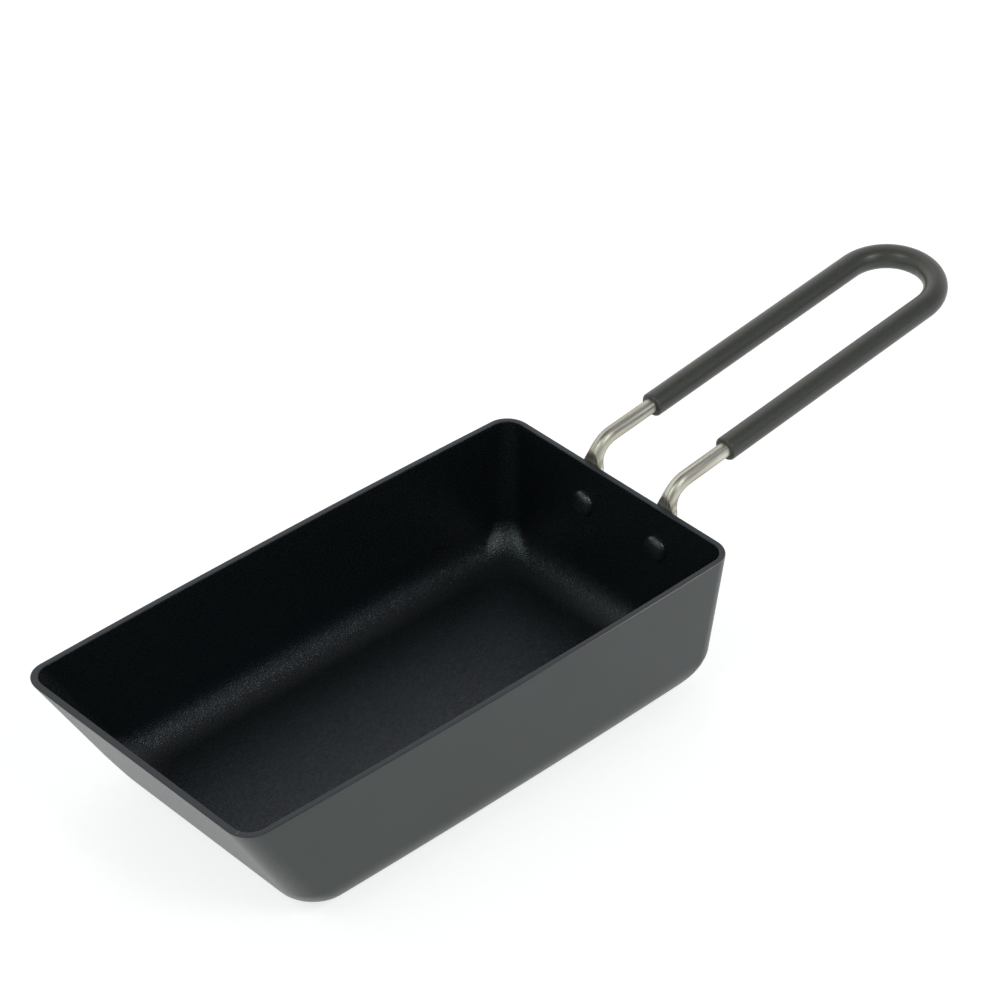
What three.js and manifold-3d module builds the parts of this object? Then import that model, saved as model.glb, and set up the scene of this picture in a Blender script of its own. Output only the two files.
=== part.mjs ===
// A deep rectangular omelette pan with a sloped front wall and a riveted wire handle.
// Millimetres, +Z up, +X towards the handle.
// The origin lies on the base plane, under the middle of the rim.

import * as THREE from 'three';
import { mergeVertices } from 'three/addons/utils/BufferGeometryUtils.js';
import Module from 'manifold-3d';

const wasm = await Module();
wasm.setup();

// Pan: the rim's outside measures, then walls, drafts in degrees, and radii
const panLength = 205;
const panWidth = 102;
const panHeight = 53;
const sideBow = 1.3;
const wallThickness = 2.1;
const baseThickness = 3.5;
const frontDraft = 31.4;
const sideDraft = 3;
const rearDraft = 1.6;
const baseFillet = 14;
const rimCorner = 8;
const footCorner = 9.5;
const baseCorner = 14;
const rimRounding = 0.4;

// Handle wire: its centre line, with the tilt of the grip in degrees above level
const wireDiameter = 5;
const legSpacing = 32.8;
const handleOffset = -3.2;
const legRise = 6.5;
const bendRadius = 8.8;
const bareLeg = 18.3;
const gripLength = 97.5;
const handleTilt = 7.5;

// Pressed ends of the wire: a flat tab that narrows over its shoulders to a neck under the bend
const tabWidth = 9;
const tabThickness = 2.4;
const neckWidth = 8;
const shoulderLength = 7;

// Grip sleeve
const sleeveDiameter = 8.3;
const sleeveLip = 0.8;

// Rivets, with the depth of their centres below the rim
const rivetDepth = 15;
const rivetShank = 4;
const rivetHeadDiameter = 8.8;
const rivetHeadHeight = 2.2;
const rivetTailDiameter = 7;
const rivetTailHeight = 1.6;
const rivetEdge = 0.3;

// Gaps between pieces that touch on the real pan
const seatGap = 0.3;
const boreGap = 0.3;

// Fineness of the facets
const cornerSteps = 6;
const sideSteps = 8;
const filletSteps = 7;
const roundingSteps = 2;
const ringSides = 24;
const tabEndSteps = 6;
const shoulderSteps = 6;
const bendSteps = 12;
const quarterLoopSteps = 12;
const lipSteps = 3;
const latheSides = 24;
const domeSteps = 6;

const radians = THREE.MathUtils.degToRad;
const wireRadius = wireDiameter / 2;
const sleeveRadius = sleeveDiameter / 2;
const boreRadius = wireRadius + boreGap;

// Joins rings of equally many points into a closed skin, capped at both ends or closed on itself.
function skin(rings, closed) {
  const sides = rings[0].length;
  const points = rings.flat();
  const faces = [];
  const spans = closed ? rings.length : rings.length - 1;
  for (let row = 0; row < spans; row += 1) {
    const near = row * sides;
    const far = ((row + 1) % rings.length) * sides;
    for (let side = 0; side < sides; side += 1) {
      const next = (side + 1) % sides;
      faces.push(near + side, near + next, far + side);
      faces.push(near + next, far + next, far + side);
    }
  }
  if (!closed) {
    const last = (rings.length - 1) * sides;
    const startCentre = points.push(centreOf(rings[0])) - 1;
    const endCentre = points.push(centreOf(rings.at(-1))) - 1;
    for (let side = 0; side < sides; side += 1) {
      const next = (side + 1) % sides;
      faces.push(startCentre, next, side);
      faces.push(endCentre, last + side, last + next);
    }
  }
  const geometry = new THREE.BufferGeometry().setFromPoints(points);
  geometry.setIndex(faces);
  return geometry;
}

function centreOf(ring) {
  const sum = new THREE.Vector3();
  for (const point of ring) {
    sum.add(point);
  }
  return sum.divideScalar(ring.length);
}

// Cuts closed geometries out of a closed geometry.
function cut(geometry, tools) {
  let solid = toSolid(geometry);
  for (const tool of tools) {
    solid = solid.subtract(toSolid(tool));
  }
  const mesh = solid.getMesh();
  const result = new THREE.BufferGeometry();
  result.setAttribute('position', new THREE.BufferAttribute(mesh.vertProperties, mesh.numProp));
  result.setIndex(new THREE.BufferAttribute(mesh.triVerts, 1));
  return result;
}

function toSolid(geometry) {
  const bare = geometry.clone();
  bare.deleteAttribute('normal');
  bare.deleteAttribute('uv');
  const merged = mergeVertices(bare);
  const vertProperties = new Float32Array(merged.attributes.position.array);
  const triVerts = new Uint32Array(merged.index.array);
  return new wasm.Manifold(new wasm.Mesh({ numProp: 3, vertProperties, triVerts }));
}

// A level section of a tub at a height above its floor.
// Each wall leans out at its draft and runs into the floor through a fillet.
function tubSection(tub, height) {
  const front = wallInset(tub, frontDraft, height);
  const side = wallInset(tub, sideDraft, height);
  const rear = wallInset(tub, rearDraft, height);
  const wallShare = Math.min((tub.height - height) / (tub.height - tub.fillet), 1);
  const floorShare = Math.max(1 - height / tub.fillet, 0);
  const wallCorner = THREE.MathUtils.lerp(tub.rimCorner, tub.footCorner, wallShare);
  return {
    front: tub.front + front,
    rear: tub.rear - rear,
    halfWidth: tub.halfWidth - side,
    corner: THREE.MathUtils.lerp(wallCorner, tub.baseCorner, floorShare),
    bow: (sideBow * height) / tub.height,
    level: tub.floor + height,
  };
}

function wallInset(tub, draft, height) {
  const lean = radians(draft);
  const filletTop = tub.fillet * (1 - Math.sin(lean));
  if (height >= filletTop) {
    return (tub.height - height) * Math.tan(lean);
  }
  const centre = tub.height * Math.tan(lean) + tub.fillet * Math.tan(Math.PI / 4 - lean / 2);
  return centre - Math.sqrt(tub.fillet ** 2 - (tub.fillet - height) ** 2);
}

// Sections from the floor, through the fillet, to the start of the rim's rounding.
function tubSections(tub) {
  const sections = [];
  for (let step = 0; step <= filletSteps; step += 1) {
    const turn = (step / filletSteps) * (Math.PI / 2);
    sections.push(tubSection(tub, tub.fillet * (1 - Math.cos(turn))));
  }
  sections.push(tubSection(tub, tub.height - rimRounding));
  return sections;
}

// The rounding at the top of a wall; inward is 1 on the outside of the wall and -1 on the inside.
function roundedTop(section, inward) {
  const sections = [];
  for (let step = 1; step <= roundingSteps; step += 1) {
    const turn = (step / roundingSteps) * (Math.PI / 2);
    const inset = inward * rimRounding * (1 - Math.cos(turn));
    sections.push({
      ...section,
      front: section.front + inset,
      rear: section.rear - inset,
      halfWidth: section.halfWidth - inset,
      corner: section.corner - inset,
      level: section.level + rimRounding * Math.sin(turn),
    });
  }
  return sections;
}

// The rounded outline of a section, counter-clockwise from above, with its long sides bowed.
function outline(section) {
  const { front, rear, halfWidth, corner, bow, level } = section;
  const middle = (front + rear) / 2;
  const halfLength = (rear - front) / 2;
  const points = [];
  const addPoint = (x, y) => {
    const bulge = Math.sign(y) * bow * (1 - ((x - middle) / halfLength) ** 2);
    points.push(new THREE.Vector3(x, y + bulge, level));
  };
  const addCorner = (x, y, quarter) => {
    for (let step = 0; step <= cornerSteps; step += 1) {
      const turn = (quarter + step / cornerSteps) * (Math.PI / 2);
      addPoint(x + corner * Math.cos(turn), y + corner * Math.sin(turn));
    }
  };
  const addSide = (from, to, y) => {
    for (let step = 1; step < sideSteps; step += 1) {
      addPoint(THREE.MathUtils.lerp(from, to, step / sideSteps), y);
    }
  };
  const frontCentre = front + corner;
  const rearCentre = rear - corner;
  const sideCentre = halfWidth - corner;
  addCorner(rearCentre, sideCentre, 0);
  addSide(rearCentre, frontCentre, halfWidth);
  addCorner(frontCentre, sideCentre, 1);
  addCorner(frontCentre, -sideCentre, 2);
  addSide(frontCentre, rearCentre, -halfWidth);
  addCorner(rearCentre, -sideCentre, 3);
  return points;
}

// The rear wall's own frame: +X out of the wall, +Z up along it, at the rim in the handle's middle.
const rearWall = new THREE.Group();
rearWall.position.set(panLength / 2, handleOffset, panHeight);
rearWall.rotation.y = radians(rearDraft);
rearWall.updateMatrix();

const legPlaces = { near: -legSpacing / 2, far: legSpacing / 2 };

// A drill through the rear wall and the handle's ends, in the rear wall's frame.
function rivetDrill(place) {
  const radius = rivetShank / 2 + boreGap;
  const reach = 2 * (wallThickness + seatGap + tabThickness);
  const drill = new THREE.CylinderGeometry(radius, radius, reach, latheSides);
  drill.rotateZ(-Math.PI / 2);
  drill.translate(0, place, -rivetDepth);
  return drill;
}

// The pan: an outer and an inner tub joined over a rounded rim, drilled for the rivets.
function panGeometry() {
  const outer = {
    front: -panLength / 2,
    rear: panLength / 2,
    halfWidth: panWidth / 2,
    floor: 0,
    height: panHeight,
    fillet: baseFillet,
    rimCorner,
    footCorner,
    baseCorner,
  };
  const levelThickness = (draft) => wallThickness / Math.cos(radians(draft));
  const inner = {
    front: outer.front + levelThickness(frontDraft),
    rear: outer.rear - levelThickness(rearDraft),
    halfWidth: outer.halfWidth - levelThickness(sideDraft),
    floor: baseThickness,
    height: panHeight - baseThickness,
    fillet: baseFillet - wallThickness,
    rimCorner: rimCorner - wallThickness,
    footCorner: footCorner - wallThickness,
    baseCorner: baseCorner - wallThickness,
  };
  const outside = tubSections(outer);
  const inside = tubSections(inner);
  const sections = [
    ...outside,
    ...roundedTop(outside.at(-1), 1),
    ...roundedTop(inside.at(-1), -1).reverse(),
    ...inside.reverse(),
  ];
  const drills = Object.values(legPlaces).map((place) => rivetDrill(place).applyMatrix4(rearWall.matrix));
  return cut(skin(sections.map(outline), false), drills);
}

// The centre line of a bent wire: straights and bends, run one after the other.
// A frame on it has a point, the wire's direction, and the normal that faces the wall and then up.
class WirePath {
  constructor(frame) {
    this.stretches = [];
    this.length = 0;
    this.end = frame;
  }

  straight(length) {
    return this.add(length, (frame, distance) => ({
      point: frame.point.clone().addScaledVector(frame.direction, distance),
      direction: frame.direction.clone(),
      normal: frame.normal.clone(),
    }));
  }

  bend(axis, radius, turn) {
    const start = this.end;
    const centre = start.point.clone().addScaledVector(axis.clone().cross(start.direction), radius);
    return this.add(radius * turn, (frame, distance) => {
      const angle = distance / radius;
      return {
        point: frame.point.clone().sub(centre).applyAxisAngle(axis, angle).add(centre),
        direction: frame.direction.clone().applyAxisAngle(axis, angle),
        normal: frame.normal.clone().applyAxisAngle(axis, angle),
      };
    });
  }

  add(length, place) {
    const frame = this.end;
    this.stretches.push({ from: this.length, at: (distance) => place(frame, distance) });
    this.length += length;
    this.end = place(frame, length);
    return this;
  }

  at(distance) {
    const stretch = this.stretches.findLast((candidate) => candidate.from <= distance) ?? this.stretches[0];
    return stretch.at(distance - stretch.from);
  }

  side() {
    return this.end.normal.clone().cross(this.end.direction);
  }
}

// The handle's centre line in the rear wall's frame, from the near end round the loop to the far end.
const legTurn = Math.PI / 2 - radians(handleTilt + rearDraft);
const legStraight = rivetDepth + tabWidth / 2 + legRise - bendRadius * Math.tan(legTurn / 2);
const legBend = bendRadius * legTurn;
const loopRadius = legSpacing / 2;
const handlePath = new WirePath({
  point: new THREE.Vector3(seatGap + tabThickness / 2, legPlaces.near, -rivetDepth - tabWidth / 2),
  direction: new THREE.Vector3(0, 0, 1),
  normal: new THREE.Vector3(-1, 0, 0),
});
handlePath.straight(legStraight);
handlePath.bend(handlePath.side(), bendRadius, legTurn);
handlePath.straight(bareLeg + gripLength);
handlePath.bend(handlePath.end.normal.clone(), loopRadius, Math.PI);
handlePath.straight(gripLength + bareLeg);
handlePath.bend(handlePath.side(), bendRadius, legTurn);
handlePath.straight(legStraight);

const loopStart = legStraight + legBend + bareLeg + gripLength;
const sleeveStart = legStraight + legBend + bareLeg;

// A ring round the path: an oval of the given half sizes, pressed flat on the side away from the normal.
function pathRing(distance, halfWidth, halfHeight, flat) {
  const { point, direction, normal } = handlePath.at(distance);
  const side = normal.clone().cross(direction);
  return Array.from({ length: ringSides }, (_, index) => {
    const turn = ((index + 0.5) / ringSides) * 2 * Math.PI;
    const across = halfWidth * Math.cos(turn);
    const along = Math.max(halfHeight * Math.sin(turn), -flat);
    return point.clone().addScaledVector(side, across).addScaledVector(normal, along);
  });
}

function roundRing(distance, radius) {
  return pathRing(distance, radius, radius, radius);
}

// Sections of one pressed end, by their distance from the end of the wire.
// The tab has a round end and shoulders, and flares out of the round wire at the start of the bend.
function pressedSections() {
  const pressed = tabThickness / 2;
  const sections = [];
  for (let step = 1; step <= tabEndSteps; step += 1) {
    const turn = (step / tabEndSteps) * (Math.PI / 2);
    sections.push({
      distance: (tabWidth / 2) * (1 - Math.cos(turn)),
      halfWidth: (tabWidth / 2) * Math.sin(turn),
      flat: pressed,
    });
  }
  for (let step = 0; step <= shoulderSteps; step += 1) {
    const share = step / shoulderSteps;
    const narrowing = THREE.MathUtils.smoothstep(share, 0, 1);
    sections.push({
      distance: legStraight - shoulderLength * (1 - share),
      halfWidth: THREE.MathUtils.lerp(tabWidth, neckWidth, narrowing) / 2,
      flat: pressed,
    });
  }
  for (let step = 1; step <= bendSteps; step += 1) {
    const share = step / bendSteps;
    const narrowing = 1 - (1 - share) ** 3;
    sections.push({
      distance: legStraight + legBend * share,
      halfWidth: THREE.MathUtils.lerp(neckWidth / 2, wireRadius, narrowing),
      flat: THREE.MathUtils.lerp(pressed, wireRadius, share),
    });
  }
  return sections;
}

// The die that presses both ends flat against the rear wall, in the wall's frame.
function wallDie() {
  const depth = wireDiameter;
  const die = new THREE.BoxGeometry(depth, legSpacing + 2 * tabWidth, 2 * (rivetDepth + tabWidth));
  die.translate(seatGap - depth / 2, 0, 0);
  return die;
}

// Evenly spaced distances from one place on the path to another.
function spread(from, to, steps) {
  return Array.from({ length: steps + 1 }, (_, step) => THREE.MathUtils.lerp(from, to, step / steps));
}

// The wire: pressed end, bend, straight leg, loop, and the same again in reverse.
function wireGeometry() {
  const loop = spread(loopStart, handlePath.length / 2, quarterLoopSteps);
  const half = [
    ...pressedSections(),
    ...loop.map((distance) => ({ distance, halfWidth: wireRadius, flat: wireRadius })),
  ];
  const mirrored = half.slice(0, -1).reverse().map((section) => ({
    ...section,
    distance: handlePath.length - section.distance,
  }));
  const rings = [...half, ...mirrored].map(({ distance, halfWidth, flat }) => (
    pathRing(distance, halfWidth, wireRadius, flat)
  ));
  return cut(skin(rings, false), [wallDie(), ...Object.values(legPlaces).map(rivetDrill)]);
}

// The sleeve: a tube over the loop and the grip part of both legs, with rounded outer lips.
function sleeveGeometry() {
  const sleeveEnd = handlePath.length - sleeveStart;
  const loopEnd = handlePath.length - loopStart;
  const loop = spread(loopStart, loopEnd, 2 * quarterLoopSteps);
  const lip = Array.from({ length: lipSteps + 1 }, (_, step) => {
    const turn = (step / lipSteps) * (Math.PI / 2);
    return {
      inset: sleeveLip * (1 - Math.sin(turn)),
      radius: sleeveRadius - sleeveLip * (1 - Math.cos(turn)),
    };
  });
  const outside = [
    ...lip.toReversed().map(({ inset, radius }) => roundRing(sleeveStart + inset, radius)),
    ...loop.map((distance) => roundRing(distance, sleeveRadius)),
    ...lip.map(({ inset, radius }) => roundRing(sleeveEnd - inset, radius)),
  ];
  const bore = [sleeveEnd, ...loop.toReversed(), sleeveStart];
  return skin([...outside, ...bore.map((distance) => roundRing(distance, boreRadius))], true);
}

// A rivet in the rear wall's frame: a domed head inside the pan and a formed tail on the handle's end.
function rivetGeometry() {
  const headSeat = -wallThickness - seatGap;
  const tailSeat = seatGap + tabThickness + seatGap;
  const profile = [];
  const addDome = (radius, seat, height) => {
    for (let step = 0; step <= domeSteps; step += 1) {
      const turn = (step / domeSteps) * (Math.PI / 2);
      const edge = seat + Math.sign(height) * rivetEdge;
      const crown = height - Math.sign(height) * rivetEdge;
      profile.push(new THREE.Vector2(radius * Math.cos(turn), edge + crown * Math.sin(turn)));
    }
  };
  addDome(rivetHeadDiameter / 2, headSeat, -rivetHeadHeight);
  profile.reverse();
  profile.push(new THREE.Vector2(rivetHeadDiameter / 2, headSeat));
  profile.push(new THREE.Vector2(rivetShank / 2, headSeat));
  profile.push(new THREE.Vector2(rivetShank / 2, tailSeat));
  profile.push(new THREE.Vector2(rivetTailDiameter / 2, tailSeat));
  addDome(rivetTailDiameter / 2, tailSeat, rivetTailHeight);
  const [headCrown, tailCrown] = [profile[0], profile.at(-1)];
  headCrown.x = 0;
  tailCrown.x = 0;
  const rivet = new THREE.LatheGeometry(profile, latheSides);
  rivet.rotateZ(-Math.PI / 2);
  return rivet;
}

function part(name, geometry, color, roughness, metalness) {
  const material = new THREE.MeshStandardMaterial({ color, roughness, metalness });
  const mesh = new THREE.Mesh(geometry, material);
  mesh.name = name;
  return mesh;
}

const pan = new THREE.Group();
pan.add(part('pan_body', panGeometry(), 0x4b4e50, 0.55, 0.6));
rearWall.add(part('handle_wire', wireGeometry(), 0xb9b2a6, 0.25, 1));
rearWall.add(part('grip_sleeve', sleeveGeometry(), 0x45433f, 0.5, 0));
for (const [place, offset] of Object.entries(legPlaces)) {
  const rivet = part(`rivet_${place}`, rivetGeometry(), 0x1b1c1e, 0.45, 0.4);
  rivet.position.set(0, offset, -rivetDepth);
  rearWall.add(rivet);
}
pan.add(rearWall);

export default pan;
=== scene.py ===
import math

import bmesh
import bpy
from mathutils import Euler, Matrix, Vector


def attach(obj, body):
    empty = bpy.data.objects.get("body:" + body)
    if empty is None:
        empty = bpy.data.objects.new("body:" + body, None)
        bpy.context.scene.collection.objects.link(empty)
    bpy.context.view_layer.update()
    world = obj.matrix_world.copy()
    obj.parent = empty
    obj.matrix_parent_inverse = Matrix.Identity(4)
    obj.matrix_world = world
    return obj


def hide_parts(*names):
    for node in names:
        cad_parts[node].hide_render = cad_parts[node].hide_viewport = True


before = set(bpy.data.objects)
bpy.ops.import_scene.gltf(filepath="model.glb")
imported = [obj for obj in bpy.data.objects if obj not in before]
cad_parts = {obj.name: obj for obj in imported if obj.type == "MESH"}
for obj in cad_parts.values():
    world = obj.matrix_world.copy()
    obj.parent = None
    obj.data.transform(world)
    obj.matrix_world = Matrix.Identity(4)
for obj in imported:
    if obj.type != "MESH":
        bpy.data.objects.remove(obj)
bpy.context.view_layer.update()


# Pan body
# A deep rectangular pan pressed in one piece from aluminium, with a thick base and a sloped front wall.
# The outside wears a matte grey coat, the rim a dark one tinted blue as a painted cool reflection, and the
# inside a black non-stick coat.

mm = 0.001
pan_length = 205 * mm
pan_width = 102 * mm
pan_height = 53 * mm
side_bow = 1.3 * mm
wall_thickness = 2.1 * mm
base_thickness = 3.5 * mm
front_draft = math.radians(31.4)
side_draft = math.radians(3)
rear_draft = math.radians(1.6)
base_fillet = 14 * mm
rim_corner = 8 * mm
foot_corner = 9.5 * mm
base_corner = 14 * mm
rim_rounding = 0.35 * mm
bow_middle = 9 * mm
sharp_angle = math.radians(60)
smooth_angle = math.radians(40)
level_face = 0.95
upright_face = 0.2
corner_steps = 10
fillet_steps = 12
rim_steps = 4
side_cuts = 9


def begin(name, add_primitive, **measures):
    """Adds a primitive at its size and place and opens it in edit mode."""
    bpy.ops.object.select_all(action="DESELECT")
    add_primitive(**measures)
    piece = bpy.context.object
    piece.name = name
    piece.data.name = name
    bpy.ops.object.transform_apply(location=True, rotation=True, scale=True)
    bpy.ops.object.mode_set(mode="EDIT")
    bpy.ops.mesh.select_mode(type="VERT")
    return piece


def pick(kind, test):
    """Selects the vertices, edges or faces of the open piece that pass a test."""
    bpy.ops.mesh.select_mode(type=kind)
    bpy.ops.mesh.select_all(action="DESELECT")
    mesh = bpy.context.object.data
    shape = bmesh.from_edit_mesh(mesh)
    elements = {"VERT": shape.verts, "EDGE": shape.edges, "FACE": shape.faces}[kind]
    for element in elements:
        element.select_set(test(element))
    shape.select_flush_mode()
    bmesh.update_edit_mesh(mesh)


def middle(element):
    """The middle of an edge or a face."""
    corners = [vertex.co for vertex in element.verts]
    return sum(corners, Vector()) / len(corners)


def span(edge):
    """The vector from one end of an edge to the other."""
    return edge.verts[1].co - edge.verts[0].co


def is_sharp(edge):
    """Whether two faces meet sharply at an edge."""
    return edge.calc_face_angle(0) > sharp_angle


def apply_modifier(piece, kind, **settings):
    """Adds a modifier with its settings and applies it."""
    modifier = piece.modifiers.new(kind.lower(), kind)
    for name, value in settings.items():
        setattr(modifier, name, value)
    bpy.ops.object.modifier_apply(modifier=modifier.name)


def add_ring(front, rear, half_width, corner, level):
    """A level rectangle with rounded corners, as a closed line of edges in the open piece."""
    centre = ((front + rear) / 2, 0, level)
    bpy.ops.mesh.select_all(action="DESELECT")
    bpy.ops.mesh.primitive_plane_add(size=2 * half_width, location=centre)
    bpy.ops.transform.resize(value=((rear - front) / (2 * half_width), 1, 1), center_override=centre)
    bpy.ops.mesh.bevel(affect="VERTICES", offset=corner, segments=corner_steps)
    bpy.ops.mesh.delete(type="ONLY_FACE")


def wall_inset(rise, fillet, draft, height):
    """How far a drafted wall stands inside the rim at a height above the floor, with its fillet."""
    if height >= fillet * (1 - math.sin(draft)):
        return (rise - height) * math.tan(draft)
    centre = rise * math.tan(draft) + fillet * math.tan((math.pi / 2 - draft) / 2)
    return centre - math.sqrt(fillet**2 - (fillet - height) ** 2)


def mix(low, high, share):
    """The number at a share of the way from one to another."""
    return low + (high - low) * share


def press_tub(name, offset, floor):
    """One skin of the pan: rings from the floor up through the fillet to the rim, bridged into walls."""
    rise = pan_height - floor
    fillet = base_fillet - offset
    # The plane only opens the mesh, and the rings take its place.
    tub = begin(name, bpy.ops.mesh.primitive_plane_add, size=pan_width)
    bpy.ops.mesh.delete(type="VERT")
    turns = [math.pi / 2 * step / fillet_steps for step in range(fillet_steps + 1)]
    heights = [fillet * (1 - math.cos(turn)) for turn in turns] + [rise]
    for height in heights:
        wall_share = min((rise - height) / (rise - fillet), 1)
        floor_share = max(1 - height / fillet, 0)
        wall_corner = mix(rim_corner, foot_corner, wall_share) - offset
        front_inset = offset / math.cos(front_draft) + wall_inset(rise, fillet, front_draft, height)
        rear_inset = offset / math.cos(rear_draft) + wall_inset(rise, fillet, rear_draft, height)
        side_inset = offset / math.cos(side_draft) + wall_inset(rise, fillet, side_draft, height)
        add_ring(
            front=-pan_length / 2 + front_inset,
            rear=pan_length / 2 - rear_inset,
            half_width=pan_width / 2 - side_inset,
            corner=mix(wall_corner, base_corner - offset, floor_share),
            level=floor + height,
        )
    bpy.ops.mesh.select_all(action="SELECT")
    bpy.ops.mesh.bridge_edge_loops()
    pick("EDGE", lambda edge: edge.is_boundary and middle(edge).z < floor + fillet / 2)
    bpy.ops.mesh.edge_face_add()
    bpy.ops.mesh.select_all(action="SELECT")
    bpy.ops.mesh.normals_make_consistent(inside=False)
    bpy.ops.object.mode_set(mode="OBJECT")
    return tub


outside = press_tub("pan", offset=0, floor=0)
inside = press_tub("pan_inside", offset=wall_thickness, floor=base_thickness)
bpy.ops.object.mode_set(mode="EDIT")
bpy.ops.mesh.select_all(action="SELECT")
bpy.ops.mesh.flip_normals()
bpy.ops.object.mode_set(mode="OBJECT")


def new_finish(name):
    """A material with its nodes, its shader, and the object coordinates that its patterns read."""
    finish = bpy.data.materials.new(name)
    finish.use_nodes = True
    nodes = finish.node_tree.nodes
    shader = nodes["Principled BSDF"]
    place = nodes.new("ShaderNodeTexCoord").outputs["Object"]
    return finish, shader, place


def grain(finish, place, size, detail=2.0, stretch=(1, 1, 1)):
    """Noise of about the given grain size on the object, which can be drawn out along its axes."""
    nodes, links = finish.node_tree.nodes, finish.node_tree.links
    mapping = nodes.new("ShaderNodeMapping")
    mapping.vector_type = "TEXTURE"
    mapping.inputs["Scale"].default_value = stretch
    noise = nodes.new("ShaderNodeTexNoise")
    noise.inputs["Scale"].default_value = 1 / size
    noise.inputs["Detail"].default_value = detail
    links.new(place, mapping.inputs["Vector"])
    links.new(mapping.outputs["Vector"], noise.inputs["Vector"])
    return noise.outputs["Fac"]


def between(finish, value, low, high, low_at=0.3, high_at=0.7):
    """Turns a pattern's value into colours or numbers between two ends."""
    nodes, links = finish.node_tree.nodes, finish.node_tree.links
    if isinstance(low, tuple):
        ramp = nodes.new("ShaderNodeValToRGB")
        ramp.color_ramp.elements[0].position = low_at
        ramp.color_ramp.elements[0].color = (*low, 1)
        ramp.color_ramp.elements[1].position = high_at
        ramp.color_ramp.elements[1].color = (*high, 1)
        links.new(value, ramp.inputs["Fac"])
        return ramp.outputs["Color"]
    ramp = nodes.new("ShaderNodeMapRange")
    ramp.inputs["From Min"].default_value = low_at
    ramp.inputs["From Max"].default_value = high_at
    ramp.inputs["To Min"].default_value = low
    ramp.inputs["To Max"].default_value = high
    links.new(value, ramp.inputs["Value"])
    return ramp.outputs["Result"]


def emboss(finish, shader, height, depth, strength=1):
    """Raises a pattern's value from the surface by a small depth."""
    nodes, links = finish.node_tree.nodes, finish.node_tree.links
    bump = nodes.new("ShaderNodeBump")
    bump.inputs["Distance"].default_value = depth
    bump.inputs["Strength"].default_value = strength
    links.new(height, bump.inputs["Height"])
    links.new(bump.outputs["Normal"], shader.inputs["Normal"])


def paint(finish, shader, socket, value, **ends):
    """Varies one of the shader's sockets with a pattern's value."""
    finish.node_tree.links.new(between(finish, value, **ends), shader.inputs[socket])


grey_coat, shader, place = new_finish("grey_coat")
shader.inputs["Specular IOR Level"].default_value = 0.39
cloud = grain(grey_coat, place, size=30 * mm)
paint(grey_coat, shader, "Base Color", cloud, low=(0.032, 0.040, 0.038), high=(0.038, 0.047, 0.045))
speck = grain(grey_coat, place, size=0.5 * mm)
paint(grey_coat, shader, "Roughness", speck, low=0.32, high=0.42)
emboss(grey_coat, shader, speck, depth=0.02 * mm, strength=0.4)

cool_sheen = (0.9, 0.95, 1, 1)
nonstick, shader, place = new_finish("black_nonstick")
shader.inputs["Specular IOR Level"].default_value = 0.5
shader.inputs["Specular Tint"].default_value = cool_sheen
grit = grain(nonstick, place, size=0.45 * mm, detail=1)
paint(nonstick, shader, "Base Color", grit, low=(0.0045, 0.0066, 0.0076), high=(0.0080, 0.0104, 0.0118))
paint(nonstick, shader, "Roughness", grit, low=0.20, high=0.30)
emboss(nonstick, shader, grit, depth=0.18 * mm)

# The rim's own dark coat, tinted blue all round as a painted reflection of cool light.
rim_coat_painted_cool, shader, place = new_finish("dark_rim_coat_painted_blue")
shader.inputs["Specular IOR Level"].default_value = 0.5
speck = grain(rim_coat_painted_cool, place, size=0.5 * mm)
paint(rim_coat_painted_cool, shader, "Base Color", speck, low=(0.008, 0.012, 0.019), high=(0.014, 0.018, 0.025))
paint(rim_coat_painted_cool, shader, "Roughness", speck, low=0.38, high=0.5)

# The rim's outer edge is painted a light tan from the middle of the pan towards the rear: part worn bare
# metal, part painted highlight.
rim_edge_wear_and_highlight, shader, place = new_finish("rim_edge_wear_and_painted_highlight")
along_pan = rim_edge_wear_and_highlight.node_tree.nodes.new("ShaderNodeSeparateXYZ")
rim_edge_wear_and_highlight.node_tree.links.new(place, along_pan.inputs["Vector"])
plain_edge_colour = (0.030, 0.034, 0.036)
worn_and_highlit_edge = (0.30, 0.28, 0.24)
wear_and_highlight_full_at = 60 * mm
x_place = along_pan.outputs["X"]
paint(rim_edge_wear_and_highlight, shader, "Base Color", x_place, low=plain_edge_colour, high=worn_and_highlit_edge, low_at=0, high_at=wear_and_highlight_full_at)
speck = grain(rim_edge_wear_and_highlight, place, size=0.5 * mm)
paint(rim_edge_wear_and_highlight, shader, "Roughness", speck, low=0.35, high=0.5)


def coat(piece, finish):
    """Gives the selected faces of the open piece one of its finishes."""
    piece.active_material_index = piece.data.materials.find(finish.name)
    bpy.ops.object.material_slot_assign()


for finish in (grey_coat, nonstick, rim_coat_painted_cool, rim_edge_wear_and_highlight):
    outside.data.materials.append(finish)
inside.data.materials.append(nonstick)
bpy.ops.object.select_all(action="DESELECT")
inside.select_set(True)
outside.select_set(True)
bpy.context.view_layer.objects.active = outside
bpy.ops.object.join()
pan = outside
bpy.ops.object.mode_set(mode="EDIT")
pick("EDGE", lambda edge: edge.is_boundary)
bpy.ops.mesh.bridge_edge_loops()
# The rim's top faces get the dark coat with its painted blue reflection.
pick("FACE", lambda face: face.normal.z > level_face and middle(face).z > pan_height - rim_rounding)
coat(pan, rim_coat_painted_cool)
# The long edges get points along them, so that the sides can bow.
pick("EDGE", lambda edge: abs(span(edge).x) > pan_width)
bpy.ops.mesh.subdivide(number_cuts=side_cuts)


def at_bow(place, side):
    """Whether a place lies on the rim, at the middle of one long side."""
    on_rim = place.z > pan_height - rim_rounding
    return on_rim and abs(place.x) < bow_middle and place.y * side > pan_width / 3


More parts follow.
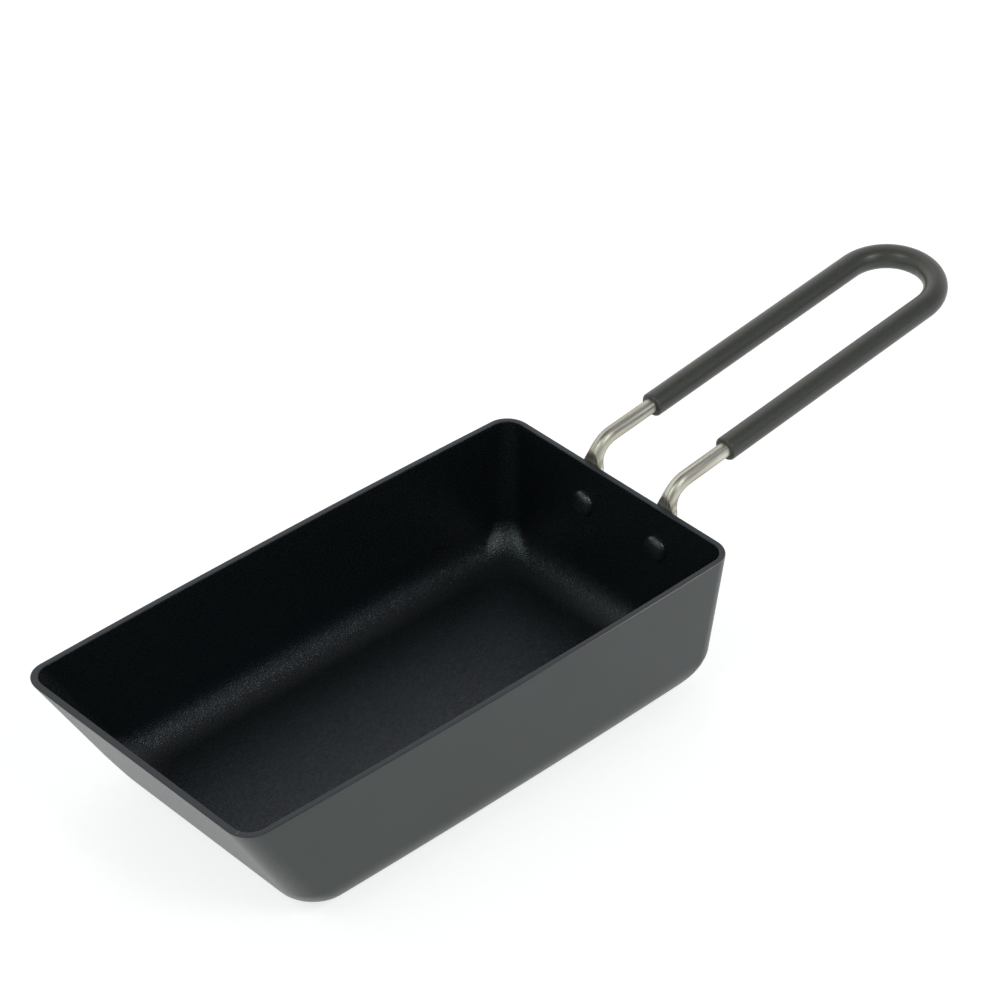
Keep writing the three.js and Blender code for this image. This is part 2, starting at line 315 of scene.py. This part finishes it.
for side in (-1, 1):
    pick("VERT", lambda vertex: at_bow(vertex.co, side))
    bpy.ops.transform.translate(
        value=(0, side * side_bow, 0),
        use_proportional_edit=True,
        proportional_edit_falloff="INVERSE_SQUARE",
        proportional_size=pan_length / 2,
    )
pick("EDGE", lambda edge: is_sharp(edge) and middle(edge).z > pan_height - rim_rounding)
bpy.ops.mesh.bevel(offset=rim_rounding, segments=rim_steps)


def on_outer_edge(face):
    """Whether a face is one of the small ones that round the outer edge of the rim."""
    place = middle(face)
    outward = face.normal.x * place.x + face.normal.y * place.y
    slanted = upright_face < face.normal.z < level_face
    return place.z > pan_height - rim_rounding and outward > 0 and slanted


# These small faces carry the painted highlight and wear of the rim's outer edge.
pick("FACE", on_outer_edge)
coat(pan, rim_edge_wear_and_highlight)
bpy.ops.mesh.select_all(action="SELECT")
bpy.ops.mesh.normals_make_consistent(inside=False)
bpy.ops.object.mode_set(mode="OBJECT")


def smooth(piece):
    """Shades a piece smooth, apart from its sharp edges."""
    bpy.ops.object.select_all(action="DESELECT")
    piece.select_set(True)
    bpy.context.view_layer.objects.active = piece
    bpy.ops.object.shade_smooth_by_angle(angle=smooth_angle)


smooth(pan)
apply_modifier(pan, "WEIGHTED_NORMAL", keep_sharp=True, weight=100)
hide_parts("pan_body")
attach(pan, "root")


# Handle wire
# One length of 5 mm stainless wire, bent up from the rear wall, along the grip and round the loop.
# Both ends are pressed into flat tabs that lie on the outside of the rear wall.

wire_radius = 2.5 * mm
leg_spacing = 32.8 * mm
handle_offset = -3.2 * mm
leg_rise = 6.5 * mm
bend_radius = 8.8 * mm
bare_leg = 18.3 * mm
grip_length = 97.5 * mm
handle_tilt = math.radians(7.5)
tab_width = 9 * mm
neck_width = 8 * mm
flare_reach = 7 * mm
tab_thickness = 2.4 * mm
tab_point = 0.6 * mm
shoulder = 7 * mm
seat_gap = 0.3 * mm
rivet_depth = 15 * mm
wire_sides = 32
bend_steps = 14
loop_steps = 40
tab_steps = 6
arc_smoothness = 0.6

rim_line = Vector((pan_length / 2, handle_offset, pan_height))
leg_axis = rim_line.x + seat_gap + tab_thickness / 2
leg_turn = math.pi / 2 - handle_tilt - rear_draft
neck_level = pan_height + leg_rise - bend_radius * math.tan(leg_turn / 2)
bend_centre = Vector((leg_axis + bend_radius, 0, neck_level))
loop_radius = leg_spacing / 2
near_leg = handle_offset - loop_radius
far_leg = handle_offset + loop_radius
along = Vector((math.sin(leg_turn), 0, math.cos(leg_turn)))
above = Vector((-math.cos(leg_turn), 0, math.sin(leg_turn)))
run_start = bend_centre + bend_radius * above
loop_centre = run_start + (bare_leg + grip_length) * along
loop_centre.y = handle_offset


def at_leg(point, leg):
    """A point of the handle's profile, moved to one of the legs."""
    return Vector((point.x, leg, point.z))


def push(step):
    """Extrudes what is selected by a step."""
    bpy.ops.mesh.extrude_region_move(TRANSFORM_OT_translate={"value": step})


def lean_with_wall():
    """Leans the open piece back with the rear wall's draft, about the rim."""
    bpy.ops.mesh.select_all(action="SELECT")
    bpy.ops.transform.rotate(value=-rear_draft, orient_axis="Y", center_override=rim_line)


wire = begin(
    "handle_wire_bent",
    bpy.ops.mesh.primitive_circle_add,
    vertices=wire_sides,
    radius=wire_radius,
    location=at_leg(run_start, near_leg),
    rotation=(0, leg_turn, 0),
)
bpy.ops.mesh.select_all(action="SELECT")
push((bare_leg + grip_length) * along)
bpy.ops.mesh.spin(steps=loop_steps, angle=math.pi, center=loop_centre, axis=-above)
push(-(bare_leg + grip_length) * along)


def on_leg(edge, leg):
    """Whether an edge lies on one of the legs, and not on the other."""
    return abs(middle(edge).y - leg) < loop_radius / 2


def flare_neck(leg):
    """Bends one leg down into a neck that is pressed flat on its outer side and flares sideways."""
    bpy.ops.mesh.select_all(action="DESELECT")
    neck = Vector((leg_axis, leg, neck_level))
    bpy.ops.mesh.primitive_circle_add(vertices=wire_sides, radius=wire_radius, location=neck)
    ring = [vertex.index for vertex in bmesh.from_edit_mesh(wire.data).verts if vertex.select]
    pressed = neck + Vector((tab_thickness / 2, 0, 0))
    pick("VERT", lambda vertex: vertex.index in ring and vertex.co.x > pressed.x)
    bpy.ops.transform.resize(value=(0, 1, 1), center_override=pressed)
    pick("EDGE", lambda edge: len(edge.link_faces) < 2 and on_leg(edge, leg))
    bpy.ops.mesh.bridge_edge_loops(number_cuts=bend_steps, interpolation="PATH", smoothness=arc_smoothness)
    pick("EDGE", lambda edge: edge.is_boundary and on_leg(edge, leg))
    bpy.ops.transform.resize(
        value=(1, neck_width / (2 * wire_radius), 1),
        center_override=neck,
        use_proportional_edit=True,
        proportional_edit_falloff="SHARP",
        proportional_size=flare_reach,
    )


def tab_outline():
    """The levels and widths of a tab, from its neck down over smooth shoulders to its round end."""
    outline = [(neck_level, neck_width)]
    for step in range(1, tab_steps + 1):
        share = step / tab_steps
        ease = share * share * (3 - 2 * share)
        outline.append((neck_level - share * shoulder, mix(neck_width, tab_width, ease)))
    tab_end = pan_height - rivet_depth
    for step in range(tab_steps):
        turn = math.pi / 2 * step / tab_steps
        outline.append((tab_end - tab_width / 2 * math.sin(turn), tab_width * math.cos(turn)))
    outline.append((tab_end - tab_width / 2, tab_point))
    return outline


def press_tab(leg):
    """Draws a tab down from the open neck of a leg and closes its end."""
    outline = tab_outline()
    for (level, width), (next_level, next_width) in zip(outline, outline[1:]):
        push((0, 0, next_level - level))
        centre = (leg_axis, leg, next_level)
        bpy.ops.transform.resize(value=(1, next_width / width, 1), center_override=centre)
    bpy.ops.mesh.edge_face_add()


for leg in (near_leg, far_leg):
    flare_neck(leg)
    press_tab(leg)
bpy.ops.mesh.select_all(action="SELECT")
bpy.ops.mesh.normals_make_consistent(inside=False)
# One cut leaves both tabs flat where they lie on the wall.
wall_face = rim_line + Vector((seat_gap, 0, 0))
bpy.ops.mesh.bisect(plane_co=wall_face, plane_no=(1, 0, 0), use_fill=True, clear_inner=True)
lean_with_wall()
bpy.ops.object.mode_set(mode="OBJECT")

steel, shader, place = new_finish("drawn_stainless")
shader.inputs["Metallic"].default_value = 1
shader.inputs["Specular Tint"].default_value = (0.14, 0.13, 0.11, 1)
# The streaks run along the legs, the bends and the tabs, which all lie in upright planes.
drawn = grain(steel, place, size=0.6 * mm, stretch=(50, 1, 50))
paint(steel, shader, "Base Color", drawn, low=(0.36, 0.325, 0.265), high=(0.78, 0.755, 0.665))
paint(steel, shader, "Roughness", drawn, low=0.40, high=0.50)
wire.data.materials.append(steel)
smooth(wire)
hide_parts("handle_wire")
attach(wire, "root")


# Rivets
# Two aluminium rivets with domed heads inside the pan, black coated with it after riveting.
# Their tails are formed into low domes over the tabs of the wire.

head_radius = 4.4 * mm
head_height = 2.2 * mm
tail_radius = 3.5 * mm
tail_height = 1.6 * mm
shank_radius = 2 * mm
rivet_edge = 0.3 * mm
dome_flat = 0.1 * mm
rivet_sides = 40
dome_steps = 8


def dome(centre, outward, radius, height):
    """Grows the selected ring into a domed head that ends in a small flat."""
    size = radius
    level = 0
    for step in range(1, dome_steps + 1):
        turn = math.pi / 2 * step / dome_steps
        next_size = max(radius * math.cos(turn), dome_flat)
        next_level = (height - rivet_edge) * math.sin(turn)
        push(Vector((outward * (next_level - level), 0, 0)))
        middle_point = centre + Vector((outward * next_level, 0, 0))
        bpy.ops.transform.resize(value=(1, next_size / size, next_size / size), center_override=middle_point)
        size, level = next_size, next_level
    bpy.ops.mesh.edge_face_add()


def flange(centre, outward, radius):
    """Widens the selected ring on its seat, adds a short edge, and returns the middle of that edge's end."""
    push((0, 0, 0))
    ratio = radius / shank_radius
    bpy.ops.transform.resize(value=(1, ratio, ratio), center_override=centre)
    push(Vector((outward * rivet_edge, 0, 0)))
    return centre + Vector((outward * rivet_edge, 0, 0))


rivet_coat, shader, place = new_finish("black_rivet_coat")
shader.inputs["Specular IOR Level"].default_value = 0.85
shader.inputs["Specular Tint"].default_value = cool_sheen
grit = grain(rivet_coat, place, size=0.5 * mm)
paint(rivet_coat, shader, "Base Color", grit, low=(0.006, 0.007, 0.008), high=(0.014, 0.015, 0.017))
paint(rivet_coat, shader, "Roughness", grit, low=0.22, high=0.32)
emboss(rivet_coat, shader, grit, depth=0.14 * mm)

for node, leg in {"rivet_near": near_leg, "rivet_far": far_leg}.items():
    head_seat = Vector((rim_line.x - wall_thickness, leg, pan_height - rivet_depth))
    tail_seat = Vector((leg_axis + tab_thickness / 2, leg, pan_height - rivet_depth))
    rivet = begin(
        node + "_set",
        bpy.ops.mesh.primitive_circle_add,
        vertices=rivet_sides,
        radius=shank_radius,
        location=head_seat,
        rotation=(0, math.pi / 2, 0),
    )
    bpy.ops.mesh.select_all(action="SELECT")
    push(tail_seat - head_seat)
    tail_edge = flange(tail_seat, outward=1, radius=tail_radius)
    dome(tail_edge, outward=1, radius=tail_radius, height=tail_height)
    pick("EDGE", lambda edge: edge.is_boundary)
    head_edge = flange(head_seat, outward=-1, radius=head_radius)
    dome(head_edge, outward=-1, radius=head_radius, height=head_height)
    bpy.ops.mesh.select_all(action="SELECT")
    bpy.ops.mesh.normals_make_consistent(inside=False)
    lean_with_wall()
    bpy.ops.object.mode_set(mode="OBJECT")
    rivet.data.materials.append(rivet_coat)
    smooth(rivet)
    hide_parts(node)
    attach(rivet, "root")


# Grip sleeve
# A soft dark grey tube pulled over the wire's loop and most of both legs, with rounded lips at its ends.
# It folds a little where the inside of the loop squeezes it.

sleeve_radius = 4.15 * mm
sleeve_lip = 0.8 * mm
bore_radius = 2.55 * mm
mid_radius = (sleeve_radius + bore_radius) / 2
sleeve_sides = 40
sleeve_steps = 40
lip_steps = 5
fold_depth = 0.3 * mm
fold_half_width = 0.3 * mm
fold_spread = math.radians(9)

sleeve = begin(
    "grip_sleeve_pulled",
    bpy.ops.mesh.primitive_circle_add,
    vertices=sleeve_sides,
    radius=sleeve_radius,
    location=at_leg(run_start + bare_leg * along, near_leg),
    rotation=(0, leg_turn, 0),
)
bpy.ops.mesh.select_all(action="SELECT")
push(grip_length * along)
bpy.ops.mesh.spin(steps=sleeve_steps, angle=math.pi, center=loop_centre, axis=-above)
push(-grip_length * along)
bpy.ops.mesh.select_all(action="SELECT")
bpy.ops.mesh.normals_make_consistent(inside=False)
bpy.ops.object.mode_set(mode="OBJECT")
apply_modifier(sleeve, "SOLIDIFY", thickness=sleeve_radius - bore_radius, offset=-1)
bpy.ops.object.mode_set(mode="EDIT")


def off_leg(point):
    """How far a point lies from the centre line of the leg on its side of the handle."""
    leg = near_leg if point.y < handle_offset else far_leg
    offset = point - at_leg(run_start, leg)
    return (offset - offset.dot(along) * along).length


def on_fold(point, outwards):
    """Whether a point lies on the inside of the loop, on the line that runs outwards from its centre."""
    offset = point - loop_centre
    reach = offset.dot(outwards)
    across = (offset - reach * outwards - offset.dot(above) * above).length
    return 0 < reach < loop_radius - mid_radius and across < fold_half_width


pick("EDGE", lambda edge: is_sharp(edge) and off_leg(middle(edge)) > mid_radius)
bpy.ops.mesh.bevel(offset=sleeve_lip, segments=lip_steps)
for turn in (-fold_spread, 0, fold_spread):
    outwards = math.cos(turn) * along + math.sin(turn) * Vector((0, 1, 0))
    pick("VERT", lambda vertex: on_fold(vertex.co, outwards))
    bpy.ops.transform.translate(value=fold_depth * outwards)
lean_with_wall()
bpy.ops.object.mode_set(mode="OBJECT")

rubber, shader, place = new_finish("grip_rubber_skin")
shader.inputs["Specular IOR Level"].default_value = 0.45
skin = grain(rubber, place, size=0.8 * mm)
paint(rubber, shader, "Base Color", skin, low=(0.063, 0.062, 0.053), high=(0.076, 0.075, 0.064))
paint(rubber, shader, "Roughness", skin, low=0.30, high=0.38)
emboss(rubber, shader, skin, depth=0.02 * mm, strength=0.3)
sleeve.data.materials.append(rubber)
smooth(sleeve)
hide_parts("grip_sleeve")
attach(sleeve, "root")


# Studio
# A white paper floor, with five softboxes and two pale walls where the highlights show them to be.
# The camera stands where the photograph was taken from.

floor_size = 8
paper_glow = 0.74
softbox_size = 0.6
room_light = 0.05


def combine(finish, operation, first, second):
    """The sum, the product or the larger of two values."""
    node = finish.node_tree.nodes.new("ShaderNodeMath")
    node.operation = operation
    finish.node_tree.links.new(first, node.inputs[0])
    finish.node_tree.links.new(second, node.inputs[1])
    return node.outputs["Value"]


bpy.ops.object.select_all(action="DESELECT")
bpy.ops.mesh.primitive_plane_add(size=floor_size, location=(0, 0, 0))
floor = bpy.context.object
floor.name = "floor"
paper, shader, place = new_finish("white_paper")
nodes, links = paper.node_tree.nodes, paper.node_tree.links
fibre = grain(paper, place, size=2 * mm)
paint(paper, shader, "Base Color", fibre, low=(0.48, 0.48, 0.48), high=(0.52, 0.52, 0.52))
shader.inputs["Roughness"].default_value = 0.9
shader.inputs["Specular IOR Level"].default_value = 0
rays = nodes.new("ShaderNodeLightPath")
glow = nodes.new("ShaderNodeEmission")
glow.inputs["Color"].default_value = (paper_glow, paper_glow, paper_glow, 1)
backlit = nodes.new("ShaderNodeAddShader")
mirrored = combine(paper, "MAXIMUM", rays.outputs["Is Glossy Ray"], rays.outputs["Is Transmission Ray"])
links.new(combine(paper, "MAXIMUM", rays.outputs["Is Camera Ray"], mirrored), glow.inputs["Strength"])
links.new(shader.outputs["BSDF"], backlit.inputs[0])
links.new(glow.outputs["Emission"], backlit.inputs[1])
links.new(backlit.outputs["Shader"], nodes["Material Output"].inputs["Surface"])
floor.data.materials.append(paper)


def add_softbox(name, location, energy, colour):
    """A square area light that faces the pan."""
    bpy.ops.object.light_add(type="AREA", location=location)
    softbox = bpy.context.object
    softbox.name = name
    softbox.data.size = softbox_size
    softbox.data.energy = energy
    softbox.data.color = colour
    softbox.rotation_euler = (-softbox.location).to_track_quat("-Z", "Y").to_euler()


add_softbox("right_softbox", location=(0, -1.29, 1.53), energy=8.7, colour=(1, 0.97, 1))
add_softbox("low_right_softbox", location=(0, -1.77, 0.94), energy=3.5, colour=(0.75, 1, 0.92))
add_softbox("side_softbox", location=(0.99, -1.42, 1), energy=0.9, colour=(0.55, 0.75, 1))
add_softbox("left_softbox", location=(-1.29, 0, 1.53), energy=7, colour=(0.80, 1, 0.92))
add_softbox("rear_softbox", location=(0.81, 0.81, 1.64), energy=1.4, colour=(0.80, 0.90, 1))

world = bpy.data.worlds.new("studio")
bpy.context.scene.world = world
world.use_nodes = True
nodes, links = world.node_tree.nodes, world.node_tree.links
direction = nodes.new("ShaderNodeTexCoord").outputs["Generated"]


def white_wall(towards, level):
    """Light from one wall of the room, full in one direction and fading to the room's at right angles."""
    facing = nodes.new("ShaderNodeVectorMath")
    facing.operation = "DOT_PRODUCT"
    facing.inputs[1].default_value = towards
    links.new(direction, facing.inputs[0])
    return between(world, facing.outputs["Value"], low=room_light, high=level, low_at=0, high_at=0.8)


height = nodes.new("ShaderNodeSeparateXYZ")
links.new(direction, height.inputs["Vector"])
below_ceiling = between(world, height.outputs["Z"], low=1, high=0.25, low_at=0.4, high_at=0.85)
near_horizon = between(world, height.outputs["Z"], low=1, high=0, low_at=0.1, high_at=0.3)
far_right_wall = white_wall(towards=(0.7, 0.7, 0.14), level=1.1)
far_left_wall = white_wall(towards=(-0.7, 0.7, 0.14), level=0.75)
walls = combine(world, "ADD", far_right_wall, far_left_wall)
studio_light = nodes["Background"]
studio_light.inputs["Color"].default_value = (1, 1, 1, 1)
links.new(combine(world, "MULTIPLY", walls, below_ceiling), studio_light.inputs["Strength"])
white = nodes.new("ShaderNodeBackground")
white.inputs["Color"].default_value = (1, 1, 1, 1)
rays = nodes.new("ShaderNodeLightPath")
choice = nodes.new("ShaderNodeMixShader")
# The white backdrop is seen all round, and low down it shows in the metal too.
mirrored = combine(world, "MAXIMUM", rays.outputs["Is Glossy Ray"], rays.outputs["Is Transmission Ray"])
backdrop = combine(world, "MULTIPLY", mirrored, near_horizon)
links.new(combine(world, "MAXIMUM", rays.outputs["Is Camera Ray"], backdrop), choice.inputs["Fac"])
links.new(studio_light.outputs["Background"], choice.inputs[1])
links.new(white.outputs["Background"], choice.inputs[2])
links.new(choice.outputs["Shader"], nodes["World Output"].inputs["Surface"])

look_down = math.radians(36.55)
heading = math.radians(-45.84)
camera_roll = math.radians(2.51)
camera_data = bpy.data.cameras.new("camera")
camera = bpy.data.objects.new("camera", camera_data)
bpy.context.scene.collection.objects.link(camera)
bpy.context.scene.camera = camera
camera_data.sensor_width = 36
camera_data.lens = 135.7
camera.location = (-627 * mm, -655 * mm, 769.4 * mm)
aim = Euler((math.pi / 2 - look_down, 0, heading)).to_matrix()
camera.rotation_euler = (aim @ Matrix.Rotation(camera_roll, 3, "Z")).to_euler()

bpy.context.scene.view_settings.view_transform = "Standard"
